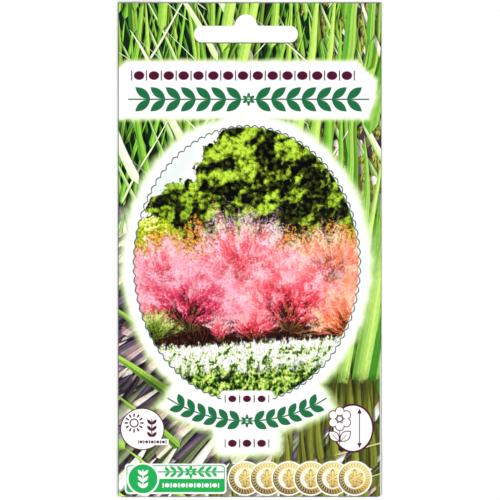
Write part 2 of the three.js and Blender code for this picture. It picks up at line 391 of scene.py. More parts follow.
@effect
def feathery_tuft(
    x, y, root_x, root_y, reach, spread, seed,
    under: COLOUR, deep: COLOUR, mid: COLOUR, pale: COLOUR,
) -> COLOUR:
    """A fountain of hazy plumes that spreads from one root, with its stems bare at the foot."""
    x = nudged(x, under)
    billow = cloud(x + seed * 9.0, y, 4.5, 3.0, 0.6) - 0.5
    fluff = cloud(x + seed * 7.0, y, 0.7, 4.0, 0.75) - 0.5
    dx = x - root_x + (billow + fluff * 0.3) * 3.2
    dy = y - root_y + dx * dx * 0.4 / reach - billow * 1.6
    distance = length_of(dx, dy)
    angle = bearing(dx, dy)
    turn = angle * 11.0 + seed
    wisps = cloud(turn * 0.8, distance * 0.22, 1.0, 3.0, 0.62)
    hairs = cloud(turn * 4.2, distance * 0.5, 1.0, 1.0)
    bulge = cloud(turn * 0.3, seed, 1.0, 1.0)
    edge = reach * (0.62 + 0.55 * bulge)
    t = distance / edge
    fringe = rise(size_of(angle) - (wisps - 0.5), spread, spread * 0.72)
    haze = rise(t + (0.5 - wisps) * 0.6 - fluff * 1.0, 1.0, 0.6) * fringe
    soft = (wisps - 0.5) * 0.7 + billow * 0.8 + fluff * 0.8
    foot = mixed(deep, "6e6c26", rise(wisps, 0.5, 0.6) * 0.7)
    colour = mixed(foot, mid, rise(t + soft, 0.16, 0.5))
    colour = mixed(colour, pale, rise(t + soft * 1.7, 0.45, 1.05))
    colour = mixed(under, dimmed(colour, 0.8 + 0.4 * hairs + fluff * 0.6), haze)
    tall, wide, tone = dice(whole(turn), seed)
    tip = edge * (0.72 + 0.5 * tall)
    belly = sine(rise(distance / tip, 0.42, 1.02, "LINEAR") * pi)
    half = belly * (0.16 + 0.2 * wide) * (0.55 + 0.9 * hairs) + 0.0001
    side = (fraction(turn) - 0.5 + (tall - 0.5) * 0.3) / half
    lit = 0.5 - side * 0.25 + (tone - 0.5) * 0.7 + (hairs - 0.5) * 1.2 + fluff * 1.4
    plume = mixed(mid, pale, rise(lit, 0.1, 0.9))
    shown = within(side, 1.3, 0.4) * within(angle, spread, spread * 0.9)
    return mixed(colour, plume, shown * 0.3)


@effect
def loose_chips(
    x, y, mask, lean, long, short, seed,
    under: COLOUR, dark: COLOUR, mid: COLOUR, light: COLOUR,
) -> COLOUR:
    """Loose flat chips lying at a slant, shown where the mask is 1, with dark gaps between them."""
    x = nudged(x, under)
    s = sine(lean)
    c = cosine(lean)
    along = (x * c + y * s) / long + seed * 3.7
    over = (y * c - x * s) / short + sway(x, y, 6.0, 0.9)
    gap = gaps(along, over, 1.0)
    distance, random_colour = cells(along, over, 1.0)
    pick, tone, chance = three_parts(random_colour)
    streak = cloud(along * 1.3, over * 7.0, 1.0)
    colour = mixed(mid, light, rise(pick + (streak - 0.5) * 0.7, 0.3, 0.6))
    colour = mixed(colour, dark, rise(chance, 0.5, 0.58) * 0.9)
    colour = dimmed(colour, 1.1 - distance * 0.55 + (tone - 0.5) * 0.3)
    return mixed(under, mixed(dark, colour, rise(gap, 0.0, 0.07)), mask)


@effect
def leaf_shape(x, y, length, width) -> NUMBER:
    """The mask of one pointed leaf on its own stalk end, with its length along X."""
    along = x / length * 2.0 - 1.0
    half = width * 0.5 * (1.0 - along * along)
    return rise(half - size_of(y), -0.05, 0.09)


# ---- Inks, as screen codes ----

WHITE = "fdfdfb"
NAVY = "04060f"
PINE = "17381a"
DEEP_GREEN = "3d7526"
MID_GREEN = "63ad35"
LIME = "9ee648"
BRIGHT_LIME = "c4f25e"
PALE_LIME = "e2f9b0"
CREAM = "fdfeee"
GLOW = "e2fba6"
MAROON = "551032"
GARLAND_GREEN = "1f7044"
LINE_GREEN = "4f6d62"
PLATE_GREEN = "1fae54"
GOLD_DARK = "5e4520"
GOLD = "e2b84c"
GOLD_LIGHT = "fbeca8"
MAUVE_DARK = "2a1d33"


# ---- The printed background: leaf blades over loose chips ----

UPPER = (0.0, 1.0, 6.5)
UPPER_LEFT = (-0.35, 1.0, 19.8)
LEFT_OF_LITTER = (-1.0, 0.2, -12.0)
TOP_LEFT = (-1.0, 1.0, 42.0)
RIGHT_SIDE = (1.0, 0.12, 24.0)
RIGHT_EDGE = (1.0, 0.5, 13.0)
LOWER_RIGHT = (0.8, -1.0, 74.0)
UNDER_LABEL = (0.15, -1.0, 56.5)
LOWER_LEFT = (-1.0, -0.4, 32.0)
PLANK_BED = (-1.0, -0.7, 36.0)
LOW_BED = (-0.6, -0.9, 55.0)
RIGHT_BED = (-0.2, -1.0, 54.0)

# Each layer, from the back: lean in degrees, pitch, length, width, fan, share, inks, region
UPPER_BLADES = [
    (-15, 2.1, 22, 1.5, 0.9, 0.85, PINE, MID_GREEN, LEFT_OF_LITTER),
    (13, 2.6, 26, 1.7, 0.8, 0.8, DEEP_GREEN, LIME, LEFT_OF_LITTER),
    (-6, 3.0, 32, 1.9, 0.6, 0.75, DEEP_GREEN, BRIGHT_LIME, UPPER_LEFT),
    (21, 4.0, 30, 1.8, 0.6, 0.5, PINE, LIME, UPPER_LEFT),
    (-24, 4.6, 34, 1.6, 0.5, 0.6, MID_GREEN, PALE_LIME, UPPER),
    (3, 4.2, 40, 2.6, 0.5, 0.55, DEEP_GREEN, BRIGHT_LIME, TOP_LEFT),
    (-11, 5.6, 46, 2.6, 0.5, 0.5, DEEP_GREEN, LIME, UPPER_LEFT),
    (11, 7.2, 48, 2.8, 0.5, 0.5, MID_GREEN, BRIGHT_LIME, UPPER),
    (-3, 9.0, 58, 3.2, 0.4, 0.45, DEEP_GREEN, BRIGHT_LIME, UPPER),
    (34, 9.0, 40, 0.8, 0.5, 0.35, PALE_LIME, CREAM, UPPER),
    (-48, 7.0, 24, 0.5, 0.9, 0.35, PALE_LIME, CREAM, UPPER),
    (-24, 9.0, 54, 2.8, 0.9, 0.65, PALE_LIME, CREAM, UPPER),
]
SIDE_BLADES = [
    (6, 4.4, 44, 3.2, 0.5, 0.65, DEEP_GREEN, LIME, RIGHT_SIDE),
    (7, 6.0, 66, 4.4, 0.3, 0.85, MID_GREEN, "d4fa72", RIGHT_EDGE),
]
LOWER_BLADES = [
    (60, 4.4, 27, 5.4, 0.5, 0.95, "1a1024", "8b7390", PLANK_BED),
    (52, 6.4, 23, 4.6, 0.6, 0.6, "a07a7c", "fbe4de", PLANK_BED),
    (44, 7.6, 20, 3.6, 0.7, 0.65, "2c1c34", "77725a", PLANK_BED),
    (50, 8.4, 25, 4.0, 0.6, 0.5, "e4cfa4", CREAM, LOW_BED),
    (46, 5.0, 24, 4.2, 0.5, 0.75, "3c4420", "93a074", RIGHT_BED),
    (38, 8.0, 24, 4.4, 0.4, 0.7, "c4c898", WHITE, UNDER_LABEL),
    (4, 3.4, 26, 3.8, 0.5, 0.9, "2e2c0c", "868f34", LOWER_RIGHT),
    (-3, 5.0, 24, 3.4, 0.5, 0.7, "3a3c10", "9aa23e", LOWER_RIGHT),
    (72, 9.0, 40, 0.6, 0.8, 0.5, "a8a050", "e8eaa0", LOWER_RIGHT),
    (-52, 11.0, 26, 3.2, 0.2, 0.75, DEEP_GREEN, BRIGHT_LIME, LOWER_LEFT),
]


def grown(colour, x, y, layers, first):
    """Lays the blades of each layer over a colour. The first number sets their chances apart."""
    swayed = x + sway(x, y, 45.0, 8.0, 1.0)
    for index, (lean, pitch, length, width, fan, share, dark, light, region) in enumerate(layers):
        colour = grass_blades(
            under=colour, x=swayed, y=y, lean=radians(lean), pitch=pitch, length=length, width=width,
            fan=fan, share=share, seed=first + index + 0.5, dark=dark, light=light, edge_x=region[0],
            edge_y=region[1], edge_start=region[2], stagger=9.0,
        )
    return colour


def side_leaves(colour, x, y):
    """Broad leaves that rise side by side at the right edge, out of deep shade at their foot."""
    leaves = grass_blades(
        under=colour, x=x - 1.1, y=y + 39.0, lean=radians(10), pitch=4.9, length=78.0, width=5.8,
        fan=0.25, share=1.0, seed=3.5, dark="448e26", light="d2f67c", edge_x=1.0,
        edge_y=-0.25, edge_start=25.0, stagger=0.05,
    )
    foot = y + sway(x, y, 2.6, 5.0, 3.0, 0.6) + 39.5
    shaded = dimmed(colour, 0.45 + 0.55 * rise(foot, -1.0, -9.0))
    return mixed(shaded, dimmed(leaves, 0.6 + 0.4 * rise(foot, 0.0, 3.5)), rise(foot, -0.6, 0.6))


def litter(x, y):
    """Scraps of bark and dry moss between the blades."""
    _, random_colour = cells(x, y * 0.7, 2.0)
    pick, tone, _ = three_parts(random_colour)
    scraps = mixed("4b3846", "fdf4ea", rise(pick, 0.45, 0.75))
    moss = mixed("44521a", "ccca62", rise(cloud(x, y * 0.3, 0.6, 3.0, 0.7), 0.38, 0.62))
    return mixed(scraps, moss, rise(tone, 0.32, 0.42))


def ground(x, y):
    """Deep shade and litter at the top, pale straw down the left, greens down the right."""
    bare = rise(x + sway(x, y, 5.0, 46.0), 18.0, 22.0)
    left = rise(x + sway(x, y, 8.0, 16.0), 18.0, 14.0)
    straw = mixed("cdbfa0", "fffef6", rise(cloud(x, y, 4.0, 3.0, 0.6), 0.35, 0.6))
    streaks = cloud(x, y * 0.12, 1.6, 3.0, 0.6)
    stems = mixed(DEEP_GREEN, LIME, rise(streaks, 0.35, 0.62))
    stems = mixed(stems, mixed("33300e", "86903a", streaks), rise(y, -32.0, -42.0))
    return painted(
        mixed(NAVY, PINE, cloud(x, y, 9.0, 3.0)),
        (litter(x, y), bare),
        (straw, rise(y + sway(x, y, 6.0, 10.0), 13.0, 6.0) * left),
        (stems, rise(y, 20.0, 8.0) * (1.0 - left)),
    )


def bark_chips(under, x, y):
    """Long mauve and pinkish chips in the lower left, darker the lower they lie."""
    left = rise(x + sway(x, y, 8.0, 16.0), 16.0, 13.0)
    reach = rise(y + sway(x, y, 9.0, 14.0), -2.0, -9.0) * rise(y, 3.0, 2.0) * left
    return loose_chips(
        under=under, x=x, y=y, mask=reach, lean=0.62, long=15.0, short=3.6, seed=1.0,
        dark=MAUVE_DARK, mid="7d6a78", light="fbeee6",
    )


# ---- The oval picture: rosy tufts in front of clipped shrubs, with flowers and a lawn before them ----

# Each shrub: middle, radius, leaf, seed, inks from its depth to its lit leaves
SHRUBS = [
    (-19, 8, 13, 1.0, 1.0, "010105", "46560f", "a4cc30"),
    (25, 10, 19, 1.1, 2.0, "010105", "4a5c12", "aed234"),
    (3, 19, 20, 1.2, 3.0, "010105", "586c14", "bee43e"),
    (-29, 2, 8, 0.8, 5.0, "a3b81e", "dbee2c", "fbff9a"),
]

# Each tuft, from the back: root, reach, spread, seed, inks from its foot to its tips
BACK_TUFTS = [
    (24, -10, 20, 1.35, 1.0, "9a3a1c", "fa8464", "ffdcb8"),
    (-27, -11, 17, 1.35, 2.0, "c82c50", "f6627a", "ffd2da"),
    (-2, -10, 25, 1.45, 3.0, "d82c46", "fa6a7a", "ffdce6"),
    (12, -25, 29, 1.3, 4.0, "3a0a10", "f8465a", "ffccd6"),
    (-19, -25, 29, 1.3, 5.0, "2c0812", "e2365e", "ffb8cc"),
    (31, -27, 20, 1.3, 6.0, "4a1a0c", "f2764a", "ffd4b0"),
]
FRONT_TUFTS = [
    (1, -28, 13, 0.9, 7.0, "3c0a10", "ee3a50", "ffb4bc"),
    (-9, -28, 9, 0.7, 9.0, "3c0a10", "f0485c", "ffc4cc"),
    (-29, -28, 12, 1.0, 8.0, "141e08", "6d8a26", "dbe686"),
]


def oval_distance(x, y):
    """Distance outwards from the oval, in millimetres, near its line."""
    a = (x - OVAL_X) / OVAL_WIDE
    b = (y - OVAL_Y) / OVAL_HIGH
    k = length_of(a, b)
    return k * (k - 1.0) / length_of(a / OVAL_WIDE, b / OVAL_HIGH)


def shrubs(colour, x, y):
    fray = sway(x, y, 3.2, 9.0, 3.0, 0.6)
    for cx, cy, radius, leaf, seed, dark, mid, light in SHRUBS:
        inside = radius - length_of(x - cx, y - cy) + fray
        colour = small_leaves(
            under=colour, x=x, y=y, mask=rise(inside, -0.3, 0.3),
            sunlight=((y - cy) * 0.6 - (x - cx)) * (0.11 / radius), leaf=leaf, clump=leaf * 5.6,
            relief=1.0, seed=seed, dark=dark, mid=mid, light=light,
        )
    return colour


def rosy_haze(colour, x, y):
    """The soft mass of more distant plumes, and the shade at the foot of the tufts."""
    tops = sway(x, y * 0.6, 7.0, 22.0, 3.0, 0.6)
    flecks = cloud(x, y * 0.7, 1.8, 4.0, 0.75)
    haze = painted(
        mixed("ee5266", "ffdcda", rise(flecks, 0.36, 0.6)),
        ("f9c6e6", rise(cloud(x + 30.0, y, 8.0), 0.5, 0.62) * 0.7),
        ("f59a55", rise(x + tops, 14.0, 30.0) * 0.7),
    )
    rim = mixed("a8401c", "ffc04a", rise(cloud(x, y, 0.9, 2.0, 0.7), 0.42, 0.58))
    stems = cloud(x, y * 0.35, 0.5, 3.0, 0.65)
    shade = mixed("0c0508", "5c2a18", rise(stems, 0.46, 0.68))
    return painted(
        colour,
        (rim, rise(y + tops + sway(x, y, 0.8, 14.0), 6.0, 2.0) * 0.9),
        (haze, rise(y + tops + (flecks - 0.5) * 8.0, 1.0, -4.0) * 0.96),
        (shade, rise(y + tops * 0.35, -18.0, -22.0)),
    )


def soft_billows(colour, x, y):
    """Pale haze and deep rosy hollows that lie over the tufts and join them up."""
    lumps = cloud(x + 50.0, y * 1.15, 5.0, 5.0, 0.68)
    low = rise(y + sway(x, y, 4.0, 9.0, 3.0), -19.0, -13.0)
    high = rise(y + sway(x, y * 0.6, 7.0, 22.0, 3.0, 0.6), 2.0, -4.0)
    return painted(
        colour,
        ("f02c4c", rise(lumps, 0.5, 0.3) * low * high * 0.5),
        ("ffd6e0", rise(lumps, 0.5, 0.72) * low * high * 0.5),
    )


def grow_tufts(colour, x, y, tufts):
    for rx, ry, reach, spread, seed, deep, mid, pale in tufts:
        colour = feathery_tuft(
            under=colour, x=x, y=y, root_x=rx, root_y=ry, reach=reach, spread=spread, seed=seed,
            deep=deep, mid=mid, pale=pale,
        )
    return colour


def lawn(under, x, y):
    """Pale flowering ground cover, then mown grass."""
    ragged = sway(x, y * 0.4, 1.0, 5.0, 3.0, 0.6)
    slope = y + 28.4 - x * 0.06
    colour = small_leaves(
        under=under, x=x, y=y * 0.8, mask=rise(slope + ragged, 0.8, -0.2),
        sunlight=0.25 + slope * 0.022, leaf=0.6, clump=2.6, relief=0.5, seed=8.0,
        dark="345a1c", mid="d3ea98", light="ffffff",
    )
    return small_leaves(
        under=colour, x=x, y=y * 0.8, mask=rise(slope + ragged * 1.6, -6.0, -9.5), sunlight=0.02,
        leaf=0.7, clump=3.4, relief=1.0, seed=9.0, dark="0e1a0c", mid="84b830",
        light="e4f88a",
    )


def picture(x, y):
    sky = mixed("ffffff", "eef5f2", rise(cloud(x, y, 16.0), 0.4, 0.7))
    colour = rosy_haze(shrubs(sky, x, y), x, y)
    colour = soft_billows(grow_tufts(colour, x, y, BACK_TUFTS), x, y)
    return lawn(grow_tufts(colour, x, y, FRONT_TUFTS), x, y)


def picture_print(x, y):
    """The oval picture in its scalloped line, on the white of the paper."""
    far = oval_distance(x, y)
    turn = bearing((x - OVAL_X) / OVAL_WIDE, (y - OVAL_Y) / OVAL_HIGH)
    bump = size_of(cosine(turn * (SCALLOPS / 2)))
    wave = size_of(far - (bump * 2.0 - 1.2) * SCALLOP_HEIGHT)
    colour = mixed(WHITE, picture(x, y), rise(oval_distance(x + 0.25, y), 0.05, -0.3))
    colour = caption_plaque(colour, x, y)
    shown = greater(rise(size_of(x - OVAL_X), 7.5, 8.0), rise(y, 0.0, 1.0))
    return mixed(colour, LINE_GREEN, rise(wave, 0.3, 0.1) * shown)


# ---- Printed ornaments: garlands, rows of beads, badges, a green plate and gold discs ----

# The middle of each ornament on the front
TITLE_BEADS = (-2.0, 52.8)
TITLE_GARLAND = (-0.3, 45.6)
CAPTION = (OVAL_X, -46.0)
CAPTION_BEADS = (OVAL_X, -45.1)
LABEL = (OVAL_X, -56.0)
LABEL_BEADS = (OVAL_X, -58.6)
SUN_BADGE = (-32.5, -54.3)
HEIGHT_BADGE = (31.3, -54.1)
PLATE = (-22.4, -69.4)
PLATE_GARLAND = (-17.8, -67.3)
PLATE_BEADS = (-17.8, -71.4)
PLATE_DISC = (-32.3, -69.4)
PLATE_SPRIG = (-32.3, -72.25)

# The garland under the oval runs on an arc about this point
ARC_CENTRE = (OVAL_X, -6.4)
ARC_RADIUS = 45.4

DISC_START = -1.4
DISC_PITCH = 6.65
DISC_Y = -69.3
DISC_RADIUS = 4.85
DISC_RING = 5.45
LAST_DISC = 5.0


def seen_from(point, x, y):
    return x - point[0], y - point[1]


def plate_distance(x, y, middle, half_wide, half_high, corner):
    """Distance outwards from a rectangle with round corners."""
    u, v = seen_from(middle, x, y)
    a = greater(size_of(u) - (half_wide - corner), 0.0)
    b = greater(size_of(v) - (half_high - corner), 0.0)
    return length_of(a, b) - corner


def plate(x, y, middle, half_wide, half_high, corner):
    """The mask of such a rectangle."""
    return rise(plate_distance(x, y, middle, half_wide, half_high, corner), 0.1, -0.1)


def bead_row(u, v, half_length, pitch, size):
    """The mask of a straight row of beads with a thin reel between each two."""
    local = (fraction(u / pitch + 0.5) - 0.5) * pitch
    bead = rise(length_of(local / 1.2, v), size, size - 0.18)
    reel = within(size_of(local) - pitch / 2, 0.24, 0.1) * within(v, size * 1.1, size)
    return greater(bead, reel) * within(u, half_length, half_length - 0.1)


def leaf_pairs(up, aside, lean, pitch, length, width):
    """The mask of leaves in pairs on a stem, where up runs along it and aside away from it."""
    root = fraction(up / pitch) * pitch
    along = root * cos(lean) + aside * sin(lean)
    over = aside * cos(lean) - root * sin(lean)
    return leaf_shape(x=along, y=over, length=length, width=width)


def garland(u, v, half_length, pitch, length, width):
    """The mask of a laurel garland: leaves in pairs on a stem, both ways from a rosette."""
    out = size_of(u) - 2.2
    leaves = leaf_pairs(out, size_of(v) - 0.1, radians(38), pitch, length, width)
    leaves = leaves * rise(out, 0.0, 0.1) * within(u, half_length - 2.2, half_length - 2.3)
    stem = within(v, 0.3, 0.12) * within(u, half_length, half_length - 0.2)
    petals = 1.5 + 0.5 * cosine(bearing(u, v) * 6.0)
    distance = length_of(u, v)
    rosette = rise(distance, petals + 0.1, petals - 0.08) * rise(distance, 0.45, 0.65)
    return greater(leaves, greater(stem, rosette))


def sprig(x, y, height, pitch, length, width):
    """The mask of an upright stalk with leaf pairs, from its foot."""
    aside = size_of(x)
    inside = rise(y, 0.0, 0.1) * rise(y, height, height - 0.2)
    leaves = leaf_pairs(y, aside, radians(42), pitch, length, width)
    return greater(leaves, rise(aside, 0.24, 0.08)) * inside


def title_ornaments(colour, x, y):
    beads = bead_row(*seen_from(TITLE_BEADS, x, y), 34.2, 4.5, 1.42)
    leaves = garland(*seen_from(TITLE_GARLAND, x, y), 36.65, 4.6, 5.8, 2.5)
    return painted(colour, (MAROON, beads), (GARLAND_GREEN, leaves))


def seen_from_arc(x, y):
    """How far along the arc under the oval a place lies, and how far outside it."""
    u, v = seen_from(ARC_CENTRE, x, y)
    return bearing(u, ARC_CENTRE[1] - y) * ARC_RADIUS, length_of(u, v) - ARC_RADIUS


def arc_ornaments(colour, x, y):
    """The garland that runs round under the oval, and the row of beads below it."""
    leaves = garland(*seen_from_arc(x, y), 25.45, 3.5, 4.4, 2.2)
    beads = bead_row(*seen_from(LABEL_BEADS, x, y), 6.8, 4.42, 1.2)
    return painted(colour, (GARLAND_GREEN, leaves), (MAROON, beads))


def caption_plaque(colour, x, y):
    """The white notch in the oval's foot, with a short row of beads."""
    edge = plate_distance(x, y, CAPTION, 8.0, 3.2, 1.4)
    beads = bead_row(*seen_from(CAPTION_BEADS, x, y), 6.8, 4.42, 1.1)
    return painted(colour, (WHITE, rise(edge, 0.5, -0.1)), (MAROON, beads))


def badge(colour, x, y, wide, high, line):
    """A white oval with a line round it."""
    edge = (length_of(x / wide, y / high) - 1.0) * wide
    return painted(colour, (WHITE, rise(edge, 0.2, 0.0)), (MAROON, within(edge, line, line - 0.18)))


def sun_badge(colour, x, y):
    """A sun over a sprig, for a plant that likes the light, and a bead row on a tab."""
    sun_x, sun_y = seen_from((-2.5, 1.8), x, y)
    distance = length_of(sun_x, sun_y)
    rays = rise(cosine(bearing(sun_x, sun_y) * 12.0), 0.1, 0.5)
    rays = rays * rise(distance, 1.75, 1.9) * rise(distance, 2.95, 2.8)
    disc = within(distance - 1.2, 0.28, 0.1)
    plant = sprig(x - 2.9, y + 2.5, 5.7, 1.9, 2.2, 1.0)
    return painted(
        badge(colour, x, y, 6.6, 6.25, 0.26),
        (MAROON, greater(greater(rays, disc), plant)),
        (WHITE, plate(x, y, (3.0, -3.9), 5.0, 0.95, 0.3)),
        (MAROON, bead_row(x - 3.0, y + 3.9, 4.4, 1.7, 0.5)),
    )


def petal_distance(x, y):
    """Distance outwards from the nearest of six round petals about a middle."""
    step = pi / 3
    angle = (fraction(bearing(x, y) / step + 0.5) - 0.5) * step
    distance = length_of(x, y)
    return length_of(distance * cosine(angle) - 2.3, distance * sine(angle)) - 1.3


def flower(colour, x, y):
    """A white flower with its outline, on a stalk with two leaves."""
    leaf_x = size_of(x)
    along = (leaf_x + y + 7.0) * 0.7
    over = (y + 7.0 - leaf_x) * 0.7
    leaf = leaf_shape(x=along, y=over, length=4.7, width=2.9)
    inside = leaf_shape(x=along - 0.4, y=over, length=3.9, width=2.3)
    vein = within(over, 0.16, 0.04) * rise(along, 3.1, 2.9)
    stalk = rise(leaf_x, 0.2, 0.06) * within(y + 5.2, 2.4, 2.3)
    petal = petal_distance(x, y)
    distance = length_of(x, y)
    outline = within(petal, 0.22, 0.06) * rise(distance, 0.8, 0.9)
    return painted(
        colour,
        (MAROON, greater(stalk, leaf)),
        (WHITE, inside * (1.0 - vein)),
        (WHITE, rise(lesser(petal, distance - 1.0), 0.1, 0.0)),
        (MAROON, greater(outline, within(distance - 0.8, 0.2, 0.06))),
    )


def height_badge(colour, x, y):
    """A flower beside a two-headed arrow, for the plant's height."""
    across = size_of(x - 2.0)
    shaft = rise(across, 0.22, 0.06) * within(y, 4.6, 4.5)
    head = rise(across - (6.0 - size_of(y)) * 0.45, 0.08, -0.08) * rise(size_of(y), 4.4, 4.5)
    colour = mixed(badge(colour, x, y, 6.1, 7.15, 0.36), MAROON, greater(shaft, head))
    return flower(colour, x + 4.0, y - 2.9)


def green_plate(colour, x, y):
    """A small plate with a white and a green half, and a sprig in a round field."""
    leaves = garland(*seen_from(PLATE_GARLAND, x, y), 10.05, 2.1, 2.6, 1.0)
    beads = bead_row(*seen_from(PLATE_BEADS, x, y), 8.75, 2.4, 0.7)
    halves = mixed(WHITE, PLATE_GREEN, rise(y, -69.3, -69.5))
    field = painted(halves, (PLATE_GREEN, leaves), (WHITE, beads))
    green = mixed(PLATE_GREEN, field, plate(x, y, PLATE, 14.6, 3.8, 0.7))
    distance = length_of(*seen_from(PLATE_DISC, x, y))
    return painted(
        colour,
        (WHITE, plate(x, y, PLATE, 15.4, 4.6, 1.2)),
        (green, plate(x, y, PLATE, 14.9, 4.1, 0.9)),
        (WHITE, rise(distance, 5.0, 4.85)),
        (PLATE_GREEN, rise(distance, 4.45, 4.3)),
        (WHITE, sprig(*seen_from(PLATE_SPRIG, x, y), 5.7, 1.9, 2.4, 1.0)),
    )


def gold_disc(colour, dx, y):
    """One gold disc in its pale ring, struck with a rosette inside a milled rim."""
    dy = y - DISC_Y
    distance = length_of(dx, dy)
    angle = bearing(dx, dy)
    low_left = rise(dx + dy, 2.2, -6.4)
    shine = rise(dy + dx * 0.3 + sine(angle * 2.0) * 0.8, -4.6, 4.6)
    milled = rise(cosine(angle * 30.0 + sine(distance * 5.0)), -0.2, 0.5)
    milled = milled * within(distance - 3.95, 0.6, 0.4) * (0.35 + low_left)
    rosette = within(distance - 1.7 - 0.9 * cosine(angle * 6.0), 0.36, 0.08) * 0.8
    rim = rise(distance, 4.4, 4.8) * (0.3 + low_left)
    crescent = within(distance - 3.0, 0.24, 0.08)
    crescent = greater(crescent, within(distance - 2.4, 0.55, 0.3) * rise(dx, -0.6, -1.6))
    gold = painted(
        GOLD,
        ("a8936a", low_left),
        (GOLD_LIGHT, shine * 0.9),
        (GOLD_DARK, greater(greater(milled, rosette), rim)),
        ("fffdf0", crescent),
    )
    disc = rise(distance, DISC_RADIUS + 0.05, DISC_RADIUS - 0.1)
    return painted(colour, (CREAM, rise(distance, 5.5, 5.1)), (gold, disc))


def gold_discs(colour, x, y):
    """Six discs, each laid over the one on its left."""
    place_in_row = (x - DISC_START + DISC_RING) / DISC_PITCH
    last = lesser(greater(whole(place_in_row), 0.0), LAST_DISC)
    dx = x - DISC_START - last * DISC_PITCH
    before = dx + DISC_PITCH + rise(last, 0.5, 0.4) * 99.0
    return gold_disc(gold_disc(colour, before, y), dx, y)


def faded(colour, far, x, y):
    """White where far is below 0, which glows out into the background over 3 mm."""
    far = far + sway(x, y, 4.0, 1.6)
    return painted(colour, (GLOW, rise(far, 3.4, 0.2) * 0.85), (WHITE, rise(far, 2.1, -0.2)))


def title_field(colour, x, y):
    """The glow round the oval, and the white band for the title."""
    band = greater(greater(y - 57.0, 39.8 - y), greater((x + y - 89.4) * 0.7, x - 38.2))
    band = greater(band, greater((y - x - 94.5) * 0.7, x * 0.945 - y * 0.328 - 20.9))
    return faded(colour, lesser(oval_distance(x, y) - 2.3, band * 1.7 + 0.8), x, y)


def caption_fields(colour, x, y):
    """The glow round the oval, and the white fields for the garland and the beads below it."""
    u, v = seen_from_arc(x, y)
    arc_field = greater(size_of(v + 0.6) - 3.2, size_of(u) - 24.8)
    label = plate_distance(x, y, LABEL, 8.6, 4.6, 1.5)
    return faded(colour, lesser(oval_distance(x, y) - 2.3, lesser(arc_field, label) - 0.3), x, y)


def hairline(colour, x, y):
    """A thin grey line painted at the very edge as the paper edge's shade and shadow, darkest down the
    right side, and the bare fold low at the right.
    """
    bare = rise(x, 39.46, 39.58) * rise(y, -28.0, -38.0) * 0.8
    border = greater(greater((x - 39.9) * 2.75, -39.91 - x), size_of(y) - HEIGHT / 2)
    # Painted shade: grey along the left, top and bottom edges, and near black down the right edge as a
    # painted shadow.
    line = mixed("6d6f76", "14161a", rise(x, 39.0, 39.3))
    return painted(colour, (WHITE, bare), (line, rise(border, -0.38, -0.16) * 0.9))


def slot_line(colour, x, y):
    """A thin dark line painted along the paper just below the slot's lower side, as the shadow of the
    slot's cut edge.
    """
    middle = TOP - SLOT_DROP - SLOT_BAND / 2
    band = ((SLOT_OFFSET, middle), SLOT_WIDTH / 2, SLOT_BAND / 2, SLOT_END_RADIUS)
    line = rise(plate_distance(x, y, *band), 0.36, 0.14) * rise(y - middle, -0.9, -1.7)
    # Painted shadow: dark grey just below the slot's lower edge.
    return mixed(colour, "3c4038", line * 0.85)


def background(colour, x, y, blades, first):
    """The grass of one half of the front, with fine streaks that take the flatness off the inks."""
    colour = grown(grown(colour, x, y, blades, first), x, y, SIDE_BLADES, 20)
    return dimmed(side_leaves(colour, x, y), 0.72 + cloud(x, y * 0.3, 0.5, 3.0, 0.7) * 0.56)


def upper_print(x, y):
    """The front from its middle up, outside the oval picture."""
    colour = title_field(background(ground(x, y), x, y, UPPER_BLADES, 0), x, y)
    return hairline(slot_line(title_ornaments(colour, x, y), x, y), x, y)


def lower_print(x, y):
    """The front below its middle, outside the oval picture."""
    colour = background(bark_chips(ground(x, y), x, y), x, y, LOWER_BLADES, 30)
    colour = arc_ornaments(caption_fields(colour, x, y), x, y)
    colour = sun_badge(colour, *seen_from(SUN_BADGE, x, y))
    colour = height_badge(colour, *seen_from(HEIGHT_BADGE, x, y))
    return hairline(gold_discs(green_plate(colour, x, y), x, y), x, y)


def back_print(x, y):
    """A plain back: a frame line, a garland, rules for notes and a row of month squares."""
    paper = mixed("fbfaf1", "f4f6e6", cloud(x, y, 30.0))
    frame_line = plate_distance(x, y, (0.0, -5.5), 35.5, 51.0, 3.0)
    rule = within((fraction(y / 5.0) - 0.5) * 5.0, 0.2, 0.06)
    rule = rule * within(y + 12.6, 17.6, 17.5) * within(x, 29.0, 28.9)
    month = whole(x / 5.0)
    square = greater(size_of(fraction(x / 5.0) - 0.5) * 5.0, size_of(y + 43.0))
    fill = mixed(WHITE, "e88a98", within(month + 1.5, 2.2, 2.0))
    box = mixed(fill, GARLAND_GREEN, rise(square, 1.9, 2.05))
    return painted(
        paper,
        ("dcecc4", rise(size_of(y + 5.5), 55.3, 55.6)),
        (GARLAND_GREEN, within(frame_line + 0.2, 0.3, 0.12)),
        (GARLAND_GREEN, garland(x, y - 55.4, 30.35, 3.7, 4.4, 1.7)),
        (GARLAND_GREEN, sprig(x, y - 10.0, 30.0, 5.0, 6.5, 2.5)),
        ("a9bca4", rule),
        (box, rise(square, 2.3, 2.15) * within(x, 30.1, 30.0)),
    )


# ---- Materials ----


def place_parts(nodes, kind):
    """The three coordinates of each point that is shaded."""
    parts = nodes.new("ShaderNodeSeparateXYZ")
    feed(parts.inputs[0], Field(nodes.new("ShaderNodeTexCoord").outputs[kind]))
    return [Field(output) for output in parts.outputs]


def make_material(name, look, specular=0.5):
    """A material from its look, which gives its colour and roughness at a point, and its relief.

    The relief is a height with its depth in metres and its strength.
    """
    material = bpy.data.materials.new(name)
    material.use_nodes = True
    nodes = material.node_tree.nodes
    surface = nodes["Principled BSDF"]
    x, y, _ = place_parts(nodes, "Object")
    colour, roughness, *relief = look(x * MM_IN_A_METRE, y * MM_IN_A_METRE)
    feed(surface.inputs["Base Color"], colour)
    feed(surface.inputs["Roughness"], roughness)
    surface.inputs["Specular IOR Level"].default_value = specular
    if relief:
        inputs = dict(zip(("Height", "Distance", "Strength"), relief))
        feed(surface.inputs["Normal"], Field(add_node("Bump", inputs)[0]))
    return material


